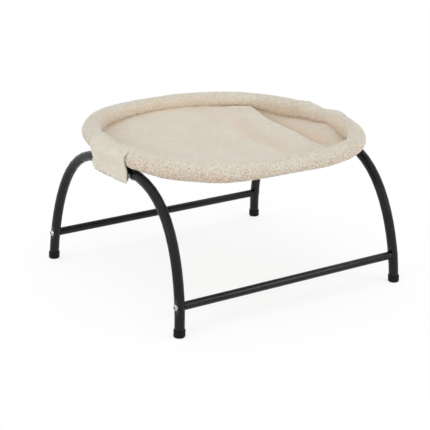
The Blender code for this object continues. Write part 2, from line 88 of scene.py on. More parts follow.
# %% Sizes of the hoop, the roll and the panel
RIM_HALF_X = 0.20576
RIM_HALF_Y = 0.2047
RIM_POWER = 2.44
RIM_Z = 0.24075
ROLL_OUT = 0.0155
ROLL_UP = 0.01425
SEAM_TURN = math.radians(223)
PANEL_SAG = 0.02
FLEECE = 0.0024
TUBE_RADIUS = 0.00815
TUBE_INSET = 0.00236
TUBE_X = RIM_HALF_X - TUBE_INSET
TUBE_TOP_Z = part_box("arch_right")[1].z
TUBE_FLAT_HALF = 0.11
ARCH_FOOT_HALF = 0.19865
ARCH_SHOULDER = 3.27
ARCH_RISE = 1.92
FIT_GAP = 0.0003
RIM_FINE_POINTS = 2881
SIDES = {"left": -1, "right": 1}


def tube_height(y):
    """Height of an arch's middle line, which is a superellipse standing on its feet."""
    share = np.minimum(np.abs(y) / ARCH_FOOT_HALF, 1)
    return (TUBE_TOP_Z - TUBE_RADIUS) * (1 - share**ARCH_SHOULDER) ** (1 / ARCH_RISE)


def rim_line(count):
    """Evenly spaced places round the hoop, from +X by way of +Y, and the way out at each."""
    turn = np.linspace(0, 2 * np.pi, RIM_FINE_POINTS)
    across, along = np.cos(turn), np.sin(turn)
    fine = np.column_stack([
        RIM_HALF_X * np.sign(across) * np.abs(across) ** (2 / RIM_POWER),
        RIM_HALF_Y * np.sign(along) * np.abs(along) ** (2 / RIM_POWER),
    ])
    run = np.concatenate([[0], np.cumsum(np.linalg.norm(np.diff(fine, axis=0), axis=1))])
    marks = np.linspace(0, run[-1], count + 1)[:-1]
    places = np.column_stack([np.interp(marks, run, fine[:, k]) for k in range(2)])
    slope = np.roll(places, -1, axis=0) - np.roll(places, 1, axis=0)
    out = np.column_stack([slope[:, 1], -slope[:, 0]])
    return places, out / np.linalg.norm(out, axis=1)[:, None]


def rim_share(x, y):
    """0 in the middle of the bed and 1 on the hoop."""
    power = (np.abs(x) / RIM_HALF_X) ** RIM_POWER + (np.abs(y) / RIM_HALF_Y) ** RIM_POWER
    return power ** (1 / RIM_POWER)


def roll_turn(points):
    """Angle of each point round the roll: 0 is outward, a quarter turn is up."""
    x, y = points[:, 0], points[:, 1]
    share = rim_share(x, y)
    steep = np.column_stack([
        np.sign(x) * (np.abs(x) / share / RIM_HALF_X) ** (RIM_POWER - 1) / RIM_HALF_X,
        np.sign(y) * (np.abs(y) / share / RIM_HALF_Y) ** (RIM_POWER - 1) / RIM_HALF_Y,
    ])
    steep /= np.linalg.norm(steep, axis=1)[:, None]
    gone_out = ((x - x / share) * steep[:, 0] + (y - y / share) * steep[:, 1]) / ROLL_OUT
    return np.arctan2((points[:, 2] - RIM_Z) / ROLL_UP, gone_out)


def hump(distance, width):
    """1 in the middle, falling smoothly to 0."""
    return np.exp(-((distance / width) ** 2))


def turn_apart(first, second):
    """Difference of two angles, from -pi to pi."""
    return (first - second + np.pi) % (2 * np.pi) - np.pi


def humps_at(places, humps):
    """Sum of humps, each given by its place, height and width."""
    return sum(
        height * hump(np.hypot(places[:, 0] - x, places[:, 1] - y), width)
        for x, y, height, width in humps
    )


print("roll", round(2000 * ROLL_OUT), "by", round(2000 * ROLL_UP), "mm")

# %% [markdown]
# ## Meshes from grids
# Cloth is easiest to make as a grid of points, because a grid is what woven and knitted things
# are. A roll is a grid closed both ways. A panel, flap or tape is a slab: one grid for its face,
# a second for its back, and a strip round the border. The back may be coarser, since it is plain.

# %% Helpers that turn grids into objects
def grid_faces(rows, columns, first=0, closed=False):
    """Squares of a grid whose points are numbered row by row."""
    spare = 0 if closed else 1
    row, column = np.meshgrid(np.arange(rows - spare), np.arange(columns - spare), indexing="ij")
    below, beside = (row + 1) % rows, (column + 1) % columns
    corners = [
        row * columns + column, below * columns + column,
        below * columns + beside, row * columns + beside,
    ]
    return (first + np.stack(corners, axis=-1).reshape(-1, 4)).tolist()


def border(rows, columns, first=0):
    """The grid's outermost points, in order round it."""
    last_row, last_column = rows - 1, columns - 1
    loop = [row * columns for row in range(last_row)]
    loop += [last_row * columns + column for column in range(last_column)]
    loop += [row * columns + last_column for row in range(last_row, 0, -1)]
    loop += list(range(last_column, 0, -1))
    return [first + k for k in loop]


def add_to_scene(name, data):
    obj = bpy.data.objects.new(name, data)
    bpy.context.scene.collection.objects.link(obj)
    return obj


def add_object(name, points, faces):
    """Makes a smooth-shaded object with its faces turned outward."""
    mesh = bpy.data.meshes.new(name)
    mesh.from_pydata(np.asarray(points).tolist(), [], faces)
    form = bmesh.new()
    form.from_mesh(mesh)
    bmesh.ops.recalc_face_normals(form, faces=form.faces)
    form.to_mesh(mesh)
    form.free()
    mesh.shade_smooth()
    return add_to_scene(name, mesh)


def add_slab(name, face, back):
    """Closed slab from two grids of points. The back may have every second, fourth ... point."""
    rows, columns = face.shape[:2]
    back_rows, back_columns = back.shape[:2]
    coarser = (rows - 1) // (back_rows - 1)
    first = rows * columns
    faces = grid_faces(rows, columns) + grid_faces(back_rows, back_columns, first)
    outer, inner = border(rows, columns), border(back_rows, back_columns, first)
    for k, near in enumerate(inner):
        far = inner[(k + 1) % len(inner)]
        edge = [outer[(k * coarser + step) % len(outer)] for step in range(coarser + 1)]
        if coarser == 1:
            faces.append((near, edge[0], edge[1], far))
            continue
        half = coarser // 2
        faces += [(near, edge[step], edge[step + 1]) for step in range(half)]
        faces.append((near, edge[half], far))
        faces += [(far, edge[step], edge[step + 1]) for step in range(half, coarser)]
    return add_object(name, np.vstack([face.reshape(-1, 3), back.reshape(-1, 3)]), faces)


def read_vertices(mesh):
    """The mesh's points and the ways that they face, as two arrays."""
    points, facing = (np.empty(len(mesh.vertices) * 3, np.float32) for _ in range(2))
    mesh.vertices.foreach_get("co", points)
    mesh.vertex_normals.foreach_get("vector", facing)
    return points.reshape(-1, 3).astype(float), facing.reshape(-1, 3).astype(float)


def move_vertices(mesh, points):
    mesh.vertices.foreach_set("co", points.astype(np.float32).ravel())
    mesh.update()


def apply_modifiers(obj):
    """Swaps the object's mesh for what its modifiers make of it."""
    shown = obj.evaluated_get(bpy.context.evaluated_depsgraph_get())
    mesh = bpy.data.meshes.new_from_object(shown)
    obj.modifiers.clear()
    obj.data = mesh
    mesh.name = obj.name
    mesh.shade_smooth()


print("grid helpers ready")

# %% [markdown]
# ## What fleece is made of
# The pile of this fleece is curled into tufts a few millimetres wide, with thin winding ridges on
# them. Hair would show every fibre, but it is heavy and can't be kept in a mesh. So the curls are
# real bumps: noise bends the places first, cells make the tufts, and the zero line of a second
# noise makes the ridges. The bending noise would take its start from the clock, so a seed is set
# and every run gives the same curls. The colour reads their kept height to paint shade between them.

# %% Curls
CURL_SEED = 1
CURL = 0.0029
CURL_BEND = 0.55
TUFT_REACH = 0.72
RIDGE_FINENESS = 2.1
RIDGE_SHARPNESS = 3.2
RIDGE_SHARE = 0.5
PILE_LEVEL = 0.45
BACK_HEIGHT = 0.6

noise.seed_set(CURL_SEED)


def noise_at(places):
    return np.array([noise.noise(place) for place in places.tolist()])


def curl_heights(points, size, stretch=(1, 1, 1)):
    """Heights from 0 to 1 of tufts and ridges at each point."""
    heights = []
    for place in (points / size / np.array(stretch)).tolist():
        bent = Vector(place) + noise.noise_vector(Vector(place) * CURL_BEND) * CURL_BEND
        tuft = 1 - min(noise.voronoi(bent)[0][0] / TUFT_REACH, 1) ** 2
        ridge = 1 - min(abs(noise.noise(bent * RIDGE_FINENESS)) * RIDGE_SHARPNESS, 1)
        heights.append((1 - RIDGE_SHARE) * tuft + RIDGE_SHARE * ridge)
    return np.array(heights)


def keep(obj, **values):
    """Keeps a number for each vertex in the mesh, for the colour to read."""
    for name, numbers in values.items():
        kept = obj.data.attributes.new(name, "FLOAT", "POINT")
        kept.data.foreach_set("value", np.asarray(numbers, np.float32).ravel())


def raise_pile(obj, heights, length):
    """Moves each vertex out or in by its curl. A curl of middling height stays where it is."""
    points, facing = read_vertices(obj.data)
    rise = (heights - PILE_LEVEL) * length
    move_vertices(obj.data, points + facing * rise[:, None])


print("curls", round(CURL * 1000, 1), "mm wide")

# %% [markdown]
# ## The roll
# The sleeve is sewn from a straight strip and bent round the hoop, so its inner side is too long
# and puckers towards the seam. It rests on the tubes, and where a flap is sewn on, the fleece
# lumps up at the flap's ends. The grid follows the seam, which climbs where the right flap pulls and
# dips where the slack panel hangs on it. The stuffing is uneven: pinched in places, drooping or
# thin below, higher at the back. A short Cloth simulation presses the cover outward, least under
# the flaps.

# %% Shape of the roll
ROLL_STATIONS = 300
ROLL_POINTS = 32
SEAM_DEPTH_SHARE = 0.1
SEAM_HALF_WIDTH = math.radians(11)
PUCKER = 0.0011
PUCKER_LENGTH = 0.0085
PUCKER_SPREAD = math.radians(62)
PUCKER_PAST_SEAM = 0.35
PUCKER_STRETCH = 0.5
NOISE_GAIN = 1.6
SLACK = 0.0007
SLACK_LENGTH = 0.045
SLACK_SHIFT = 5
FLAP_HALF = 0.0513
FLAP_MIDDLE_Y = -0.0008
FLAP_CALM = 0.012
LUMP_FOOT = 0.1
LUMPS = ((0.052, 0.0022, 0.007), (0.006, -0.003, 0.015), (-0.034, 0.002, 0.0085), (-0.062, 0.0006, 0.006))
SEAM_CLIMBS = ((0.193, -0.032, 0.62, 0.022), (0.02, 0.195, 0.42, 0.095))
SEAM_DIPS = ((0.18, 0.085, 0.0085, 0.042), (0.187, -0.09, 0.008, 0.02), (-0.16, 0.12, 0.004, 0.05))
DIP_SPREAD = math.radians(34)
DROOPS = (
    (-0.13, -0.17, 0.003, 0.05), (-0.19, -0.12, 0.003, 0.035),
    (-0.01, -0.2, -0.004, 0.075), (0.15, -0.15, -0.003, 0.08),
)
PINCHES = ((0.185, -0.14, 0.0022, 0.06), (-0.212, 0.085, 0.0028, 0.03))
LIFTS = ((-0.15, 0.15, 0.0032, 0.12), (0.05, 0.2, 0.0018, 0.09))
DROOP_SPREAD = math.radians(50)
PINCH_TURN = math.radians(-20)
PADDING_PRESSURE = 4.0
COVER_EASE = 0.035
PUFF_FRAMES = 20
PUFF_CAP = 0.0009
ROLL_PILE = 0.0017
INNER_PILE_LOSS = 0.0007
INNER_TURN = math.radians(150)
INNER_SPREAD = math.radians(60)
PRESSED_PILE = 0.0003
PRESSED_TURNS = (math.radians(-60), math.radians(80))
# Painted shade for the colour: on the roll's low inside, along the seam line and on its lower outside.
LOW_INSIDE_PAST_SEAM = 0.6
LOW_INSIDE_SPREAD = math.radians(42)
LOW_INSIDE_PAINTED_SHADE = 0.6
SEAM_LINE_SPREAD = math.radians(7)
LOWER_SIDE_SHADE_TURN = math.radians(-48)
LOWER_SIDE_SHADE_SPREAD = math.radians(62)


def seam_turn(places):
    """Angle of the seam on the roll. It climbs beside the right flap and along the back."""
    return SEAM_TURN - humps_at(places, SEAM_CLIMBS)


def seam_dip(places):
    """How far the seam hangs below its plain height."""
    return humps_at(places, SEAM_DIPS)


def lump(y, turn):
    """Lumps over and beside a flap, fading down the outside of the roll."""
    top = np.clip(np.sin(turn) + LUMP_FOOT, 0, 1)
    return top * sum(height * hump(y - middle, length) for middle, height, length in LUMPS)


def roll_swell(places, turn):
    """How far the fleece stands off the plain oval at a place and an angle."""
    swell = lump(places[:, 1], turn) * (np.abs(places[:, 0]) > RIM_HALF_X / 2)
    near_seam = hump(turn_apart(turn, seam_turn(places) - PUCKER_PAST_SEAM), PUCKER_SPREAD)
    wave = np.column_stack([places / PUCKER_LENGTH, turn * PUCKER_STRETCH])
    swell += PUCKER * near_seam * noise_at(wave) * NOISE_GAIN
    swell += SLACK * noise_at(np.column_stack([places / SLACK_LENGTH, np.cos(turn) + SLACK_SHIFT]))
    return swell


def roll_grid():
    """Points of the roll: rows go round the hoop, and each row goes round the roll from the seam."""
    places, out = rim_line(ROLL_STATIONS)
    seam = seam_turn(places)
    grid = np.empty((ROLL_STATIONS, ROLL_POINTS, 3))
    for k in range(ROLL_POINTS):
        turn = seam + 2 * np.pi * k / ROLL_POINTS
        groove = 1 - SEAM_DEPTH_SHARE * hump(turn_apart(turn, seam), SEAM_HALF_WIDTH)
        swell = roll_swell(places, turn)
        gone_out = (ROLL_OUT + swell) * np.cos(turn) * groove
        gone_out -= humps_at(places, PINCHES) * hump(turn_apart(turn, PINCH_TURN), DROOP_SPREAD)
        grid[:, k, :2] = places + out * gone_out[:, None]
        grid[:, k, 2] = RIM_Z + (ROLL_UP + swell) * np.sin(turn) * groove
        grid[:, k, 2] -= seam_dip(places) * hump(turn_apart(turn, seam), DIP_SPREAD)
        grid[:, k, 2] -= humps_at(places, DROOPS) * hump(turn_apart(turn, -math.pi / 2), DROOP_SPREAD)
        grid[:, k, 2] += humps_at(places, LIFTS) * hump(turn_apart(turn, math.pi / 2), DROOP_SPREAD)
    return grid


def puff(obj, sewn, cap):
    """Cloth simulation: the padding presses the cover out for a moment, and the seam holds it.

    Only moves outward are kept, up to the cap, and fewer of them under the flaps.
    """
    start, outward = read_vertices(obj.data)
    obj.vertex_groups.new(name="sewn").add(sewn, 1.0, "REPLACE")
    cover = obj.modifiers.new("cover", "CLOTH")
    cover.settings.vertex_group_mass = "sewn"
    cover.settings.use_pressure = True
    cover.settings.uniform_pressure_force = PADDING_PRESSURE
    cover.settings.shrink_min = -COVER_EASE
    cover.settings.effector_weights.gravity = 0.0
    cover.point_cache.frame_start, cover.point_cache.frame_end = 1, PUFF_FRAMES
    for frame in range(1, PUFF_FRAMES + 1):
        bpy.context.scene.frame_set(frame)
    apply_modifiers(obj)
    obj.vertex_groups.clear()
    bpy.context.scene.frame_set(1)
    moved = read_vertices(obj.data)[0] - start
    moved -= outward * np.minimum((moved * outward).sum(axis=1, keepdims=True), 0)
    under_flap = np.sqrt(hump(start[:, 1:2], FLAP_HALF + FLAP_CALM))
    moved *= 1 - under_flap * (np.abs(start[:, :1]) > RIM_HALF_X / 2)
    length = np.linalg.norm(moved, axis=1, keepdims=True)
    print("puffed: middle move", round(1000 * float(np.median(length)), 2), "mm")
    move_vertices(obj.data, start + moved * np.minimum(1, cap / np.maximum(length, 1e-9)))


def rest_on_tubes(points):
    """Lifts what would sink into the tops of the tubes."""
    run = np.abs(np.abs(points[:, 0]) - TUBE_X)
    top = tube_height(points[:, 1]) + np.sqrt(np.clip(TUBE_RADIUS**2 - run**2, 0, None)) + FIT_GAP
    over = (np.abs(points[:, 1]) < TUBE_FLAT_HALF) & (run < TUBE_RADIUS)
    points[:, 2] = np.where(over, np.maximum(points[:, 2], top), points[:, 2])
    return points


def pile_on_roll(points):
    """Length of the curls: longest outside, short on the roll's inner side, pressed flat under the flaps."""
    turn = roll_turn(points)
    length = ROLL_PILE - INNER_PILE_LOSS * hump(turn_apart(turn, INNER_TURN), INNER_SPREAD)
    under = (np.abs(points[:, 1]) < FLAP_HALF) & (np.abs(points[:, 0]) > RIM_HALF_X / 2)
    under &= (turn > PRESSED_TURNS[0]) & (turn < PRESSED_TURNS[1])
    return np.where(under, PRESSED_PILE, length)


roll = add_object(
    "fleece_roll", roll_grid().reshape(-1, 3), grid_faces(ROLL_STATIONS, ROLL_POINTS, closed=True)
)
sewn = [row * ROLL_POINTS + k for row in range(ROLL_STATIONS) for k in (0, 1, ROLL_POINTS - 1)]
puff(roll, sewn, PUFF_CAP)
finer = roll.modifiers.new("finer", "SUBSURF")
finer.levels = finer.render_levels = 2
apply_modifiers(roll)
roll_points = read_vertices(roll.data)[0]
turns = roll_turn(roll_points)
from_seam = turn_apart(turns, seam_turn(roll_points[:, :2]))
roll_curls = curl_heights(roll_points, CURL)
# Painted shade for the colour: darker and warmer on the roll's low inside and along the seam line, and on
# its lower outside.
low_inside_shade = hump(from_seam + LOW_INSIDE_PAST_SEAM, LOW_INSIDE_SPREAD) * LOW_INSIDE_PAINTED_SHADE
keep(
    roll,
    pile=roll_curls,
    hollow=low_inside_shade + hump(from_seam, SEAM_LINE_SPREAD),
    speck=hump(turn_apart(turns, LOWER_SIDE_SHADE_TURN), LOWER_SIDE_SHADE_SPREAD),
)
raise_pile(roll, roll_curls, pile_on_roll(roll_points))
move_vertices(roll.data, rest_on_tubes(read_vertices(roll.data)[0]))
print("roll:", len(roll.data.vertices), "vertices")

# %% [markdown]
# ## The panel
# The hammock's floor is one slack sheet of the same fleece. It sags into a shallow bowl, and two
# long folds lie in it: the sheet climbs gently to each fold from the left, then drops steeply on
# its right. A round grid would pinch in the middle, so a square grid is bent to the round plan.
# The valleys beside the folds and the seam get painted shade, darker and warmer, and the crests painted
# light.

# %% Shape of the panel
PANEL_CELLS = 232
PANEL_BACK_STEP = 4
HEM_SHARE = 0.985
MAIN_FOLD = {
    "x": 0.1255, "bend": 0.42, "y": -0.1, "drop": 0.012, "floor": 0.022,
    "rise": 0.0092, "crest": (0.08, 0.16), "depth": 0.0075, "valley": (0.01, 0.15),
}
SMALL_FOLD = {
    "x": 0.053, "bend": 0.75, "y": -0.06, "drop": 0.012, "floor": 0.018,
    "rise": 0.0036, "crest": (0.01, 0.095), "depth": 0.003, "valley": (-0.01, 0.1),
}
FOLD_APPROACH = 0.045
FOLD_RECOVERY = 0.02
GATHER = 0.0008
GATHER_LENGTH = 0.011
PANEL_CURL = CURL * 0.8
PANEL_CURL_STRETCH = (0.8, 1.5, 1)
PANEL_PILE = 0.0007
# Painted shade and painted light for the colour: valleys, seam, the whole sheet a little, and crests.
MAIN_VALLEY_START = 0.008
MAIN_VALLEY_PAINTED_SHADE = 1.3
MAIN_VALLEY_AT_SEAM = 0.3
SMALL_VALLEY_PAINTED_SHADE = 0.6
SMALL_VALLEY = (0.02, 0.014)
MAIN_CREST = (0.01, 0.016)
SMALL_CREST = (0.01, 0.02)
SMALL_CREST_SHARE = 0.7
CREST_PAINTED_LIGHT = 0.15
SEAM_PAINTED_SHADE = 0.5
PANEL_PAINTED_SHADE = 0.16


def seam_ring(depth):
    """Points along the seam, in plan and height. Depth goes into the roll."""
    places, out = rim_line(ROLL_STATIONS)
    turn = seam_turn(places)
    gone_out = (ROLL_OUT - depth) * np.cos(turn)
    return places + out * gone_out[:, None], RIM_Z + (ROLL_UP - depth) * np.sin(turn) - seam_dip(places)


def beside_fold(x, y, fold):
    """Distance to the right of a fold's crest, which is a shallow curve."""
    slope = 2 * fold["bend"] * (y - fold["y"])
    return (x - fold["x"] - fold["bend"] * (y - fold["y"]) ** 2) / np.sqrt(1 + slope**2)


def fold_floor(beside, fold):
    """1 in the valley on a fold's right, 0 far from it."""
    return np.where(beside < fold["floor"], 1.0, hump(beside - fold["floor"], FOLD_RECOVERY))


def fold_ends(y, middle, reach):
    """1 along most of a fold, falling to 0 past its ends."""
    return np.exp(-(((y - middle) / reach) ** 4))


def fold_height(x, y, fold):
    """A fold's crest climbs gently from the left. On its right the sheet drops to a valley."""
    beside = beside_fold(x, y, fold)
    rise = fold["rise"] * fold_ends(y, *fold["crest"])
    depth = fold["depth"] * fold_ends(y, *fold["valley"])
    left = rise * hump(beside, FOLD_APPROACH)
    right = (rise + depth) * hump(beside, fold["drop"]) - depth * fold_floor(beside, fold)
    return np.where(beside < 0, left, right)


def panel_grid(cells):
    """The middle of the sheet as a grid of points, and each one's share of the way to the seam."""
    u, v = np.meshgrid(np.linspace(-1, 1, cells + 1), np.linspace(-1, 1, cells + 1), indexing="ij")
    round_x, round_y = u * np.sqrt(1 - v * v / 2), v * np.sqrt(1 - u * u / 2)
    reach, turn = np.hypot(round_x, round_y), np.arctan2(round_y, round_x)
    ring, height = seam_ring(0.0)
    inner_ring, inner_height = seam_ring(FLEECE)
    ring_turn = np.arctan2(ring[:, 1], ring[:, 0])
    order = np.argsort(ring_turn)

    def round_ring(values):
        return np.interp(turn, ring_turn[order], values[order], period=2 * np.pi)

    share = np.minimum(reach / HEM_SHARE, 1)
    tuck = np.clip((reach - HEM_SHARE) / (1 - HEM_SHARE), 0, 1)
    seam_x, seam_y, seam_z = round_ring(ring[:, 0]), round_ring(ring[:, 1]), round_ring(height)
    hem_x, hem_y = round_ring(inner_ring[:, 0]), round_ring(inner_ring[:, 1])
    hem_z = round_ring(inner_height)
    x = share * seam_x + tuck * (hem_x - seam_x)
    y = share * seam_y + tuck * (hem_y - seam_y)
    low = RIM_Z + ROLL_UP * math.sin(SEAM_TURN)
    folds = fold_height(x, y, MAIN_FOLD) + fold_height(x, y, SMALL_FOLD)
    folds = np.where(folds > 0, folds * (1 - share**40), folds * (1 - share**12))
    z = low - PANEL_SAG * (1 - share**2) + folds
    z += (seam_z - low - FLEECE / 2) * share**5 + tuck * (hem_z - seam_z)
    along_seam = np.column_stack([seam_x.ravel(), seam_y.ravel(), np.zeros(z.size)])
    gather = noise_at(along_seam / GATHER_LENGTH).reshape(z.shape)
    z += GATHER * gather * share**9 * (1 - tuck)
    return np.stack([x, y, z], axis=-1), share


def facing_of(grid):
    """The way that each point of a grid faces, upward."""
    facing = np.cross(np.gradient(grid, axis=0), np.gradient(grid, axis=1))
    length = np.linalg.norm(facing, axis=-1, keepdims=True)
    facing = np.where(facing[..., 2:3] < 0, -facing, facing) / np.maximum(length, 1e-12)
    facing[[0, 0, -1, -1], [0, -1, 0, -1]] = (0, 0, 1)
    return facing


def panel_painted_shade(x, y, share):
    """Painted shade on the panel: most in the valleys and along the seam, least on the crests, where it is
    painted light.
    """
    main, small = beside_fold(x, y, MAIN_FOLD), beside_fold(x, y, SMALL_FOLD)
    small_ends = fold_ends(y, *SMALL_FOLD["crest"])
    valley = fold_floor(main, MAIN_FOLD) * (1 - hump(main, MAIN_VALLEY_START)) * (main > 0)
    fading = MAIN_VALLEY_PAINTED_SHADE - MAIN_VALLEY_PAINTED_SHADE * share**6
    valley = valley * np.clip(fading, MAIN_VALLEY_AT_SEAM, MAIN_VALLEY_PAINTED_SHADE)
    small_valley = hump(small - SMALL_VALLEY[0], SMALL_VALLEY[1])
    valley = valley + SMALL_VALLEY_PAINTED_SHADE * small_valley * small_ends
    small_crest = hump(small + SMALL_CREST[0], SMALL_CREST[1])
    crest = hump(main + MAIN_CREST[0], MAIN_CREST[1]) + SMALL_CREST_SHARE * small_crest * small_ends
    return valley + SEAM_PAINTED_SHADE * share**40 - CREST_PAINTED_LIGHT * crest + PANEL_PAINTED_SHADE


middle, seam_share = panel_grid(PANEL_CELLS)
facing = facing_of(middle)
panel_curls = curl_heights(middle.reshape(-1, 3), PANEL_CURL, PANEL_CURL_STRETCH)
panel_curls = panel_curls.reshape(seam_share.shape)
panel_pile = PANEL_PILE * (1 - seam_share**20)
face = middle + facing * (FLEECE / 2 + (panel_curls - PILE_LEVEL) * panel_pile)[..., None]
back = (middle - facing * FLEECE / 2)[::PANEL_BACK_STEP, ::PANEL_BACK_STEP]
panel = add_slab("hammock_panel", face, back)
# Painted shade for the colour: darker and warmer in the valleys, along the seam and a little over the whole
# sheet, with painted light on the crests.
hollow = panel_painted_shade(middle[..., 0], middle[..., 1], seam_share)
plain = np.zeros(back.shape[0] * back.shape[1])
keep(
    panel,
    pile=np.concatenate([panel_curls.ravel(), plain + BACK_HEIGHT]),
    hollow=np.concatenate([hollow.ravel(), plain]),
    speck=np.zeros(hollow.size + plain.size),
)
print("panel:", len(panel.data.vertices), "vertices")

# %% [markdown]
# ## The flaps
# Each flap is sewn over the roll's outside and hangs past the tube. Its path runs from the top of
# the roll round to its underside and then straight down. Its upper end is sewn in and its lower
# edge is frayed.

# %% Shape of the flaps
STRAP = 0.0015
STRAP_PLAY = 0.0005
TAPE = 0.0012
FLAP_BOTTOM = 0.2015
FLAP_PILE = 0.0011
FLAP_SEWN_PILE = 0.2
FLAP_PILE_GROWTH = 6
FLAP_CURL_STRETCH = (1, 0.8, 1.4)
FLAP_FRAY = 0.0036
FRINGE_LIFT = 0.0012
FRINGE_ROUGHNESS = 1.8
FLAP_EDGE = 0.005
FLAP_SINK = 2.1
FLAP_BEND_POINTS = 14
FLAP_TOP_TURN = math.radians(86)
FLAP_SEWN_TURN = math.radians(60)
FLAP_LEAVE_TURN = math.radians(-35)
FLAP_ROWS = 72
FLAP_COLUMNS = 96
FLAP_CORNER = 0.0105
FRONT_CORNER_SHARE = 0.35
FLAP_RIPPLE = 0.0009
RIPPLE_TURNS = 150
RIPPLE_START = 1.2
FLAP_KNEE_Z = RIM_Z - 4 * ROLL_UP / 3
FLAP_HALFWAY_Z = (RIM_Z + FLAP_BOTTOM) / 2 - 0.008
STRAP_FACE = TUBE_X + TUBE_RADIUS + STRAP_PLAY + STRAP
TAPE_X = STRAP_FACE + FIT_GAP + TAPE / 2
FLAP_X = TAPE_X + TAPE / 2 + FIT_GAP + FLEECE / 2


def even_line(points, count, rounds=3):
    """Cuts a line's corners a few times, then spaces points evenly along it."""
    line = np.array(points, float)
    for _ in range(rounds):
        near, far = line[:-1], line[1:]
        cut = np.stack([0.75 * near + 0.25 * far, 0.25 * near + 0.75 * far], axis=1).reshape(-1, 2)
        line = np.vstack([line[:1], cut, line[-1:]])
    run = np.concatenate([[0], np.cumsum(np.linalg.norm(np.diff(line, axis=0), axis=1))])
    marks = np.linspace(0, run[-1], count)
    return np.column_stack([np.interp(marks, run, line[:, k]) for k in range(2)])


def flap_line():
    """Middle of the flap from the roll's top, round it and down, as outward and upward places."""
    points = []
    for turn in np.linspace(FLAP_TOP_TURN, FLAP_LEAVE_TURN, FLAP_BEND_POINTS):
        sunk = np.clip((turn - FLAP_SEWN_TURN) / (FLAP_TOP_TURN - FLAP_SEWN_TURN), 0, 1)
        off = (FIT_GAP + FLEECE / 2) * (1 - FLAP_SINK * sunk)
        gone_out, gone_up = (ROLL_OUT + off) * math.cos(turn), (ROLL_UP + off) * math.sin(turn)
        points.append((RIM_HALF_X + gone_out, RIM_Z + gone_up))
    points += [(FLAP_X, FLAP_KNEE_Z), (FLAP_X, FLAP_HALFWAY_Z), (FLAP_X, FLAP_BOTTOM)]
    return even_line(points, FLAP_ROWS)


def flap_layer(side, offset):
    """Grid of the flap's face or back, a distance off its middle."""
    line = flap_line()
    slope = np.gradient(line, axis=0)
    out = np.column_stack([-slope[:, 1], slope[:, 0]])
    out /= np.linalg.norm(out, axis=1)[:, None]
    line = line + out * offset
    short = FLAP_CORNER - np.clip(line[:, 1] - FLAP_BOTTOM, 0, FLAP_CORNER)
    cut = FLAP_CORNER - np.sqrt(FLAP_CORNER**2 - short**2)
    across = np.linspace(-1, 1, FLAP_COLUMNS)
    cut = cut[:, None] * np.where(across < 0, FRONT_CORNER_SHARE, 1)
    y = across * (FLAP_HALF - cut) + FLAP_MIDDLE_Y
    hanging = np.clip((RIM_Z - line[:, 1]) / (RIM_Z - FLAP_BOTTOM), 0, 1)[:, None] ** 2
    ripple = FLAP_RIPPLE * hanging * (1 - np.cos(y * RIPPLE_TURNS + RIPPLE_START))
    turn = np.arctan2((line[:, 1] - RIM_Z) / ROLL_UP, (line[:, 0] - RIM_HALF_X) / ROLL_OUT)[:, None]
    sewn = np.clip((turn - FLAP_LEAVE_TURN) / (FLAP_SEWN_TURN - FLAP_LEAVE_TURN), 0, 1) ** 0.5
    tuck = np.clip((np.abs(y - FLAP_MIDDLE_Y) - FLAP_HALF + FLAP_EDGE) / FLAP_EDGE, 0, 1) ** 2
    move = lump(y, turn) * (turn > 0) - (FIT_GAP + FLEECE) * tuck * sewn
    x = side * (line[:, :1] + ripple + out[:, :1] * move)
    return np.stack([x, y, line[:, 1:] + out[:, 1:] * move], axis=-1)


def make_flap(name, side):
    """Flap with curls on its face, frayed at its lower edge and its two sides."""
    face, back = flap_layer(side, FLEECE / 2), flap_layer(side, -FLEECE / 2)
    heights = curl_heights(face.reshape(-1, 3), CURL, FLAP_CURL_STRETCH).reshape(face.shape[:2])
    out = face - back
    out /= np.linalg.norm(out, axis=-1, keepdims=True)
    merged = np.clip(np.linspace(0, FLAP_PILE_GROWTH, FLAP_ROWS), FLAP_SEWN_PILE, 1)[:, None]
    face = face + out * ((heights - PILE_LEVEL) * FLAP_PILE * merged)[..., None]
    frayed = (heights - 0.5) * FLAP_FRAY
    face[-1, :, 2] += FRINGE_LIFT - FRINGE_ROUGHNESS * frayed[-1]
    for column, way in ((0, -1), (-1, 1)):
        face[:, column, 1] += way * frayed[:, column]
    flap = add_slab(name, face, back)
    pile = np.concatenate([heights.ravel(), np.full(heights.size, BACK_HEIGHT)])
    keep(flap, pile=pile, hollow=np.zeros(pile.size), speck=np.zeros(pile.size))
    return flap


flaps = {side_name: make_flap(f"fleece_flap_{side_name}", side) for side_name, side in SIDES.items()}
print("flaps:", [len(flap.data.vertices) for flap in flaps.values()], "vertices")

# %% [markdown]
# ## Hook tape and loop straps
# Inside each flap is a strip of hook tape, and the strap that goes under the tube is loop tape.
# Both are thin slabs. The hooks are rows of tiny bumps, and the strap has fine ribs. Each strap is
# one piece here.

# %% Tapes and straps
TAPE_HALF = 0.0525
TAPE_TALL = 0.019
TAPE_HEM = 0.0022
TAPE_ABOVE_EDGE = 0.004
HOOK_PITCH = 0.0021
HOOK = 0.0004
HOOK_FADE = 0.0006
TAPE_ROUND = 0.0005
TAPE_POINTS = (197, 37)
TAPE_BACK_STEP = 4
STRAP_HALF = 0.0535
STRAP_END_TURN = math.radians(8)
STRAP_RIB = 0.00012
STRAP_ROWS = 61
STRAP_COLUMNS = 101
STRAP_BEND_POINTS = 22
STRAP_DROP = 0.0012
STRAP_SETTLE_ROWS = 7
STRAP_END_THIN = 0.6


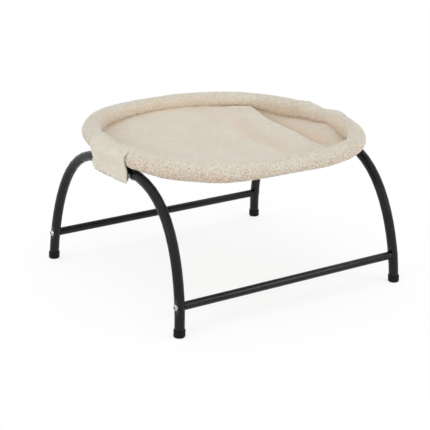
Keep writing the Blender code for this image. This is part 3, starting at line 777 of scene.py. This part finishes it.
def make_tape(name, side):
    """Hook tape with a plain hem round its field of hooks, which face the strap."""
    low = FLAP_BOTTOM + TAPE + TAPE_ABOVE_EDGE
    across = np.linspace(-TAPE_HALF, TAPE_HALF, TAPE_POINTS[0])
    across, up = np.meshgrid(across, np.linspace(0, TAPE_TALL, TAPE_POINTS[1]), indexing="ij")
    inside = np.minimum(np.minimum(up, TAPE_TALL - up), TAPE_HALF - np.abs(across))
    field = np.clip((inside - TAPE_HEM) / HOOK_FADE, 0, 1)
    row = np.floor(up / HOOK_PITCH)
    hooks = np.sin(np.pi * up / HOOK_PITCH) ** 2
    hooks *= np.sin(np.pi * (across / HOOK_PITCH + row / 2)) ** 2
    edge = np.clip(inside / TAPE_ROUND, 0, 1) ** 0.5
    inner = side * (TAPE_X - TAPE / 2 * edge + HOOK * (1 - hooks) * field)
    outer = side * (TAPE_X + TAPE / 2 * edge)
    face = np.stack([inner, across, low + up], axis=-1)
    plain = np.stack([outer, across, low + up], axis=-1)[::TAPE_BACK_STEP, ::TAPE_BACK_STEP]
    return add_slab(name, face, plain)


def make_strap(name, side):
    """Loop strap: down beside the tube from the seam, under it and up its outside."""
    radius = TUBE_RADIUS + STRAP_PLAY + STRAP / 2
    top = RIM_Z + ROLL_UP * math.sin(SEAM_TURN) - FLEECE - STRAP_DROP
    across = np.linspace(-STRAP_HALF, STRAP_HALF, STRAP_COLUMNS)
    line = [(-radius, top - tube_height(0.0))]
    for turn in np.linspace(-math.pi, STRAP_END_TURN, STRAP_BEND_POINTS):
        line.append((radius * math.cos(turn), radius * math.sin(turn)))
    line = even_line(line, STRAP_ROWS, rounds=1)
    slope = np.gradient(line, axis=0)
    out = np.column_stack([slope[:, 1], -slope[:, 0]])
    out /= np.linalg.norm(out, axis=1)[:, None]
    follow = np.clip(np.arange(STRAP_ROWS) / STRAP_SETTLE_ROWS, 0.2, 1)[:, None]
    drop = follow * (tube_height(across) - tube_height(0.0))
    rib = STRAP_RIB * np.cos(np.arange(STRAP_COLUMNS) * np.pi)[None, :, None]
    thin = np.ones(STRAP_ROWS)
    thin[[0, -1]] = STRAP_END_THIN
    layers = []
    for way in (1, -1):
        shifted = line + way * out * (STRAP / 2 * thin)[:, None]
        height = tube_height(0.0) + shifted[:, 1][:, None] + drop
        x = np.broadcast_to((side * (TUBE_X + shifted[:, 0]))[:, None], height.shape)
        grid = np.stack([x, np.broadcast_to(across[None, :], height.shape), height], axis=-1)
        ribs_out = np.stack([side * out[:, 0], 0 * out[:, 0], out[:, 1]], axis=-1)[:, None, :]
        layers.append(grid + ribs_out * rib * (way == 1))
    return add_slab(name, layers[0], layers[1])


tapes = {side_name: make_tape(f"hook_strip_{side_name}", side) for side_name, side in SIDES.items()}
straps = {side_name: make_strap(f"loop_strap_{side_name}", side) for side_name, side in SIDES.items()}
print("tapes and straps:", len(tapes) + len(straps))

# %% [markdown]
# ## Writing shader maths as Python
# A material is a graph of nodes. Sums in it are easier to read as expressions, so this class wraps
# a socket and turns each operator into its Math node. Colours are mixed by one Mix node, because a
# Math node would turn them grey, and every other node comes from one method.

# %% A socket that can be used in sums
class Wire:
    """The output of a node. Sums with numbers or other wires add Math nodes."""

    def __init__(self, paint, socket):
        self.paint, self.socket = paint, socket

    def join(self, operation, other, swapped=False):
        first, second = (other, self) if swapped else (self, other)
        return self.paint.node("ShaderNodeMath", {"operation": operation}, {0: first, 1: second})

    def __add__(self, other):
        return self.join("ADD", other)

    def __sub__(self, other):
        return self.join("SUBTRACT", other)

    def __rsub__(self, other):
        return self.join("SUBTRACT", other, swapped=True)

    def __mul__(self, other):
        return self.join("MULTIPLY", other)

    __radd__, __rmul__ = __add__, __mul__


class Paint:
    """Nodes of one material or of the world."""

    def __init__(self, tree):
        self.tree = tree

    def node(self, kind, settings=None, sockets=None, out=0):
        """Adds a node: settings first, then each socket's value or link. Returns one output."""
        made = self.tree.nodes.new(kind)
        for key, value in (settings or {}).items():
            if key != "stops":
                setattr(made, key, value)
                continue
            ramp = made.color_ramp
            while len(ramp.elements) < len(value):
                ramp.elements.new(0.5)
            for stop, (place, colour) in zip(ramp.elements, value):
                stop.position, stop.color = place, (*colour, 1.0)
        for key, value in (sockets or {}).items():
            if isinstance(value, Wire):
                self.tree.links.new(value.socket, made.inputs[key])
            else:
                made.inputs[key].default_value = value
        return Wire(self, made.outputs[out])

    def place(self):
        return self.node("ShaderNodeTexCoord", out="Object")

    def noise(self, size, detail=2.0, place=None):
        """Noise from 0 to 1 with features of a size in metres."""
        sockets = {"Vector": place or self.place(), "Scale": 1 / size, "Detail": detail}
        return self.node("ShaderNodeTexNoise", sockets=sockets)

    def ramp(self, value, *stops):
        return self.node("ShaderNodeValToRGB", {"stops": stops}, {0: value})

    def span(self, value, low, high, new_low=0.0, new_high=1.0):
        sockets = {"Value": value, "From Min": low, "From Max": high, "To Min": new_low, "To Max": new_high}
        return self.node("ShaderNodeMapRange", sockets=sockets)

    def mix(self, share, first, second):
        """Colour between two colours."""
        first, second = (c if isinstance(c, Wire) else (*c, 1.0) for c in (first, second))
        return self.node("ShaderNodeMix", {"data_type": "RGBA"}, {0: share, 6: first, 7: second}, out=2)

    def bump(self, height, distance, strength=1.0):
        sockets = {"Height": height, "Distance": distance, "Strength": strength}
        return self.node("ShaderNodeBump", sockets=sockets)


def finish_material(name, colour, roughness, normal=None, metallic=0.0, **fixed):
    """Principled material. Wires feed its varying sockets, and what is fixed is set on the shader."""
    material = bpy.data.materials[name]
    shader = material.node_tree.nodes["Principled BSDF"]
    varying = {"Base Color": colour, "Roughness": roughness, "Metallic": metallic, "Normal": normal}
    for key, value in varying.items():
        if isinstance(value, Wire):
            material.node_tree.links.new(value.socket, shader.inputs[key])
        elif value is not None:
            shader.inputs[key].default_value = (*value, 1.0) if key == "Base Color" else value
    for key, value in fixed.items():
        shader.inputs[key].default_value = value
    return material


def new_paint(name):
    material = bpy.data.materials.new(name)
    material.use_nodes = True
    return Paint(material.node_tree)


print("shader helpers ready")

# %% [markdown]
# ## Fleece
# Curly cream fleece, with painted shade in its colour: lightest on the tips of its curls, darker
# and peach between them, where light that goes down comes back warm. Three numbers kept in the mesh
# drive the colour: the curls' height, painted shade in valleys and along seams with painted light
# on crests, and painted shade on the roll's lower outside. A slow noise makes some places warmer, and a fine
# bump stands for the single fibres.

# %% Fleece materials
# The deepest colour and the warm colour are painted shade, between curls and in hollows.
PILE_DEEP_SHADE = (0.60, 0.435, 0.30)
PILE_HALF = (0.675, 0.61, 0.50)
PILE_WARM_SHADE = (0.73, 0.545, 0.395)
PILE_TIP = (0.745, 0.72, 0.645)
LOWER_SIDE_SHADE_CONTRAST = 1.1
LOWER_SIDE_SHADE_TONE = 0.24
PAINTED_SHADE_TONE = 0.16
PAINTED_SHADE_WARMTH = 0.5
FIBRE_TONE = 1.6
PATCH = 0.035
PATCH_TONE = 0.3
MIDDLE_TONE = 0.65


def fleece_material(name, fibre, contrast, stretch=(1, 1, 1)):
    """Fleece with painted shade, darker and warm in its hollows. Contrast is how much painted shade between
    the curls their height gives.
    """
    paint = new_paint(name)
    place = paint.node("ShaderNodeMapping", sockets={"Vector": paint.place(), "Scale": stretch})
    fine = paint.noise(fibre, 3.0, place)
    patch = paint.noise(PATCH, 1.0)
    height, hollow, speck = (
        paint.node("ShaderNodeAttribute", {"attribute_name": kept}, out="Fac")
        for kept in ("pile", "hollow", "speck")
    )
    # Painted shade: the colour is darker and peach between the curls, more so on the roll's lower outside,
    # and darker and warmer in valleys, seams and the roll's low inside. The panel's crests get painted
    # light.
    show = speck * LOWER_SIDE_SHADE_CONTRAST + contrast
    tone = (height - 0.5 + (fine - 0.5) * FIBRE_TONE) * show + (patch - 0.5) * PATCH_TONE + MIDDLE_TONE
    tone = tone - hollow * PAINTED_SHADE_TONE - speck * LOWER_SIDE_SHADE_TONE
    plain = paint.ramp(tone, (0.05, PILE_DEEP_SHADE), (0.45, PILE_HALF), (0.85, PILE_TIP))
    colour = paint.mix(hollow * PAINTED_SHADE_WARMTH, plain, PILE_WARM_SHADE)
    normal = paint.bump(fine, fibre * 0.5, 0.7)
    glow = {"Subsurface Weight": 0.2, "Subsurface Scale": 0.004, "Subsurface Radius": (1.0, 0.55, 0.3)}
    sheen = {"Sheen Weight": 0.15, "Sheen Roughness": 0.5}
    return finish_material(name, colour, 0.95, normal, **glow, **sheen)


roll_fleece = fleece_material("roll_fleece", 0.0021, 0.75)
panel_fleece = fleece_material("panel_fleece", 0.0017, 0.42, (1.0, 0.5, 1.0))
flap_fleece = fleece_material("flap_fleece", 0.0018, 0.55, (1.0, 1.0, 0.55))
print("fleece:", roll_fleece.name, panel_fleece.name, flap_fleece.name)

# %% [markdown]
# ## Tapes, straps and the foam inside
# Hook tape is black and rough. Loop tape is a silver grey with fine ribs and a silky sheen. The
# foam padding and the hoop stay hidden in the roll, but they get their finish too.

# %% Tape, strap and foam materials
def tape_material():
    paint = new_paint("hook_black")
    grain = paint.noise(0.0009, 2.0)
    colour = paint.ramp(grain, (0.3, (0.006, 0.006, 0.007)), (0.75, (0.03, 0.03, 0.032)))
    return finish_material("hook_black", colour, 0.7, paint.bump(grain, 0.0002), **{"Sheen Weight": 0.15})


def strap_material():
    paint = new_paint("loop_silver")
    waves = {"Scale": 90.0, "Distortion": 1.2, "Detail": 2.0, "Detail Scale": 2.0}
    waves["Vector"] = paint.place()
    ribs = paint.node("ShaderNodeTexWave", {"bands_direction": "Y"}, waves, out=1)
    loops = paint.noise(0.0007, 3.0)
    colour = paint.ramp(ribs * 0.5 + loops * 0.5, (0.2, (0.22, 0.22, 0.23)), (0.8, (0.46, 0.46, 0.48)))
    normal = paint.bump(ribs * 0.6 + loops, 0.0003)
    sheen = {"Sheen Weight": 0.4, "Sheen Roughness": 0.3}
    return finish_material("loop_silver", colour, 0.55, normal, **sheen)


def foam_material():
    paint = new_paint("cream_foam")
    cells = paint.node("ShaderNodeTexVoronoi", sockets={"Vector": paint.place(), "Scale": 900.0})
    colour = paint.ramp(cells, (0.0, (0.60, 0.58, 0.52)), (0.6, (0.80, 0.79, 0.74)))
    return finish_material("cream_foam", colour, 0.9, paint.bump(cells, 0.0004))


hook_black, loop_silver, cream_foam = tape_material(), strap_material(), foam_material()
print("soft materials:", hook_black.name, loop_silver.name, cream_foam.name)

# %% [markdown]
# ## Steel, plastic and screws
# The tubes are powder coated: black, half glossy, with the slight orange-peel that the powder
# leaves as it melts. The foot caps are moulded and duller, scuffed where they meet the floor. The
# screws are bright zinc with a brushed grain round the head.

# %% Hard materials
def coated_material():
    paint = new_paint("black_coat")
    peel = paint.noise(0.0022, 2.0)
    dust = paint.noise(0.018, 5.0)
    rough = paint.span(dust, 0.3, 0.75, 0.18, 0.28)
    colour = paint.ramp(dust, (0.3, (0.0032, 0.0037, 0.0041)), (0.8, (0.0065, 0.0072, 0.0078)))
    fixed = {"Specular IOR Level": 0.25}
    return finish_material("black_coat", colour, rough, paint.bump(peel, 0.0001, 0.5), **fixed)


def cap_material():
    paint = new_paint("black_cap")
    grain = paint.noise(0.0007, 2.0)
    height = paint.node("ShaderNodeSeparateXYZ", sockets={0: paint.place()}, out="Z")
    scuff = paint.span(height + paint.noise(0.004, 3.0) * 0.004, 0.0015, 0.0055, 1.0, 0.0)
    colour = paint.mix(scuff * 0.5, (0.007, 0.007, 0.0073), (0.025, 0.0245, 0.024))
    fixed = {"Specular IOR Level": 0.12}
    return finish_material("black_cap", colour, scuff * 0.25 + 0.5, paint.bump(grain, 0.00012), **fixed)


def zinc_material():
    paint = new_paint("bright_zinc")
    grain = paint.noise(0.0004, 3.0)
    cloud = paint.noise(0.003, 2.0)
    colour = paint.ramp(cloud, (0.3, (0.34, 0.345, 0.36)), (0.7, (0.56, 0.56, 0.55)))
    rough = paint.span(grain, 0.3, 0.7, 0.2, 0.36)
    return finish_material("bright_zinc", colour, rough, paint.bump(grain, 0.00004), metallic=1.0)


def steel_material():
    paint = new_paint("drawn_steel")
    along = paint.noise(0.0008, 4.0)
    colour = paint.ramp(along, (0.3, (0.38, 0.385, 0.40)), (0.7, (0.52, 0.525, 0.54)))
    return finish_material("drawn_steel", colour, paint.span(along, 0.3, 0.7, 0.28, 0.45), metallic=1.0)


def nylon_material():
    paint = new_paint("dark_nylon")
    grain = paint.noise(0.0006, 2.0)
    colour = paint.ramp(grain, (0.3, (0.04, 0.04, 0.041)), (0.7, (0.06, 0.06, 0.061)))
    return finish_material("dark_nylon", colour, 0.5, paint.bump(grain, 0.00008))


HARD = {
    "frame_steel": coated_material(), "foot_cap": cap_material(), "screw_steel": zinc_material(),
    "insert_nylon": nylon_material(), "hoop_steel": steel_material(), "padding_foam": cream_foam,
}
print("hard materials:", ", ".join(material.name for material in HARD.values()))

# %% [markdown]
# ## Putting the finishes on
# Each frame node says in the record which finish it has. The soft pieces stand for their plain
# solids. The roll and the panel ride on the bed.

for part in frame["record"]["subparts"]:
    if part["material_slot"] in HARD:
        node = frame["nodes"][part["node"]]
        node.data.materials.clear()
        node.data.materials.append(HARD[part["material_slot"]])


def dress(obj, material, slot, *nodes):
    """Gives a soft piece its finish and hides the nodes that it stands for. The slot is not used."""
    obj.data.materials.append(material)
    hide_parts(*nodes)


dress(roll, roll_fleece, "fleece", "fleece_rim_sleeve")
dress(panel, panel_fleece, "fleece", "fleece_panel")
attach(roll, "frame_and_bed")
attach(panel, "frame_and_bed")

for side_name, side in SIDES.items():
    flap, tape, strap = flaps[side_name], tapes[side_name], straps[side_name]
    dress(flap, flap_fleece, "fleece", f"flap_{side_name}")
    dress(tape, hook_black, "hook_tape", f"hook_tape_{side_name}")
    dress(strap, loop_silver, "strap_webbing", f"tube_strap_{side_name}", f"strap_end_{side_name}")
    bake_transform(flap)
    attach(tape, f"{side_name}_flap")
    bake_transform(strap)

print("dressed:", 2 + 3 * len(SIDES), "soft pieces")

# %% [markdown]
# ## Floor, light and camera
# The floor is pale, and what the camera sees of it is mostly plain white, least of all where the bed
# shelters it, so that only a soft trace of the shadow stays. A bright sky and three wide lamps, left,
# right and overhead, give the soft daylight. The camera was fitted to the legs, the feet and the rim
# of the bed in the photograph.

# %% Stage
FLOOR_HALF = 6.0
FLOOR_SHADE = 0.45
SHELTER_REACH = 0.35
SHELTER_RAYS = 16
SKY = 0.72
LAMP_AIM = Vector((0, 0, 0.15))


def white_to_the_eye(paint, is_surface, share):
    """How much of plain white the camera or a reflection sees, and that white."""
    rays = paint.node("ShaderNodeLightPath")
    outputs = rays.socket.node.outputs
    seen = Wire(paint, outputs["Is Camera Ray"]) + Wire(paint, outputs["Is Glossy Ray"])
    seen = seen + Wire(paint, outputs["Is Transmission Ray"])
    seen.socket.node.use_clamp = True
    kind = "ShaderNodeEmission" if is_surface else "ShaderNodeBackground"
    return seen * share, paint.node(kind, sockets={0: (1, 1, 1, 1), 1: 1.0})


def make_floor():
    paint = new_paint("pale_floor")
    colour = paint.ramp(paint.noise(0.4, 2.0), (0.3, (0.93, 0.93, 0.93)), (0.7, (0.95, 0.95, 0.95)))
    finish_material("pale_floor", colour, 1.0, **{"Specular IOR Level": 0.0})
    shader = paint.tree.nodes["Principled BSDF"]
    rays, reach = {"samples": SHELTER_RAYS}, {"Distance": SHELTER_REACH}
    openness = paint.node("ShaderNodeAmbientOcclusion", rays, reach, out="AO")
    share, plain = white_to_the_eye(paint, True, 1 - (1 - openness) * FLOOR_SHADE)
    both = paint.node("ShaderNodeMixShader", sockets={0: share, 1: Wire(paint, shader.outputs[0]), 2: plain})
    output = paint.tree.nodes["Material Output"]
    paint.tree.links.new(both.socket, output.inputs["Surface"])
    corners = [(x * FLOOR_HALF, y * FLOOR_HALF, 0) for x, y in ((-1, -1), (1, -1), (1, 1), (-1, 1))]
    mesh = bpy.data.meshes.new("studio_floor")
    mesh.from_pydata(corners, [], [(0, 1, 2, 3)])
    mesh.materials.append(bpy.data.materials["pale_floor"])
    add_to_scene("studio_floor", mesh)


def make_sky():
    world = bpy.data.worlds.new("studio")
    bpy.context.scene.world = world
    world.use_nodes = True
    paint = Paint(world.node_tree)
    light = world.node_tree.nodes["Background"]
    light.inputs["Color"].default_value = (1, 1, 1, 1)
    light.inputs["Strength"].default_value = SKY
    share, plain = white_to_the_eye(paint, False, 1.0)
    both = paint.node("ShaderNodeMixShader", sockets={0: share, 1: Wire(paint, light.outputs[0]), 2: plain})
    paint.tree.links.new(both.socket, world.node_tree.nodes["World Output"].inputs["Surface"])


def add_lamp(name, place, size, power):
    lamp = bpy.data.lights.new(name, "AREA")
    lamp.shape, lamp.size, lamp.energy = "DISK", size, power
    obj = add_to_scene(name, lamp)
    obj.location = place
    obj.rotation_euler = (LAMP_AIM - Vector(place)).to_track_quat("-Z", "Y").to_euler()


make_floor()
make_sky()
add_lamp("left_window", (-2.1, -0.7, 1.1), 0.6, 12.5)
add_lamp("right_window", (1.35, -2.0, 1.1), 0.6, 13.5)
add_lamp("top_panel", (-0.2, 0.2, 2.4), 1.6, 3)
print("stage ready")

# %% Camera
PHOTO_SIDE = 430
FOCAL_PIXELS = 1371.0
CAMERA_PLACE = (-1.2505, -1.7827, 0.8452)
CAMERA_YAW = math.radians(-34.74)
CAMERA_PITCH = math.radians(18.96)
CAMERA_ROLL = math.radians(1.0)


def make_camera():
    """Camera turned about Z, pitched down and rolled about its own view."""
    lens = bpy.data.cameras.new("camera")
    lens.sensor_fit, lens.sensor_width = "HORIZONTAL", 36.0
    lens.lens = FOCAL_PIXELS / PHOTO_SIDE * lens.sensor_width
    camera = add_to_scene("camera", lens)
    turn = Matrix.Translation(CAMERA_PLACE)
    for angle, axis in ((CAMERA_YAW, "Z"), (math.pi / 2 - CAMERA_PITCH, "X"), (CAMERA_ROLL, "Z")):
        turn = turn @ Matrix.Rotation(angle, 4, axis)
    camera.matrix_world = turn
    bpy.context.scene.camera = camera


make_camera()
bpy.context.scene.view_settings.view_transform = "Standard"
print("camera:", round(bpy.context.scene.camera.data.lens, 1), "mm")
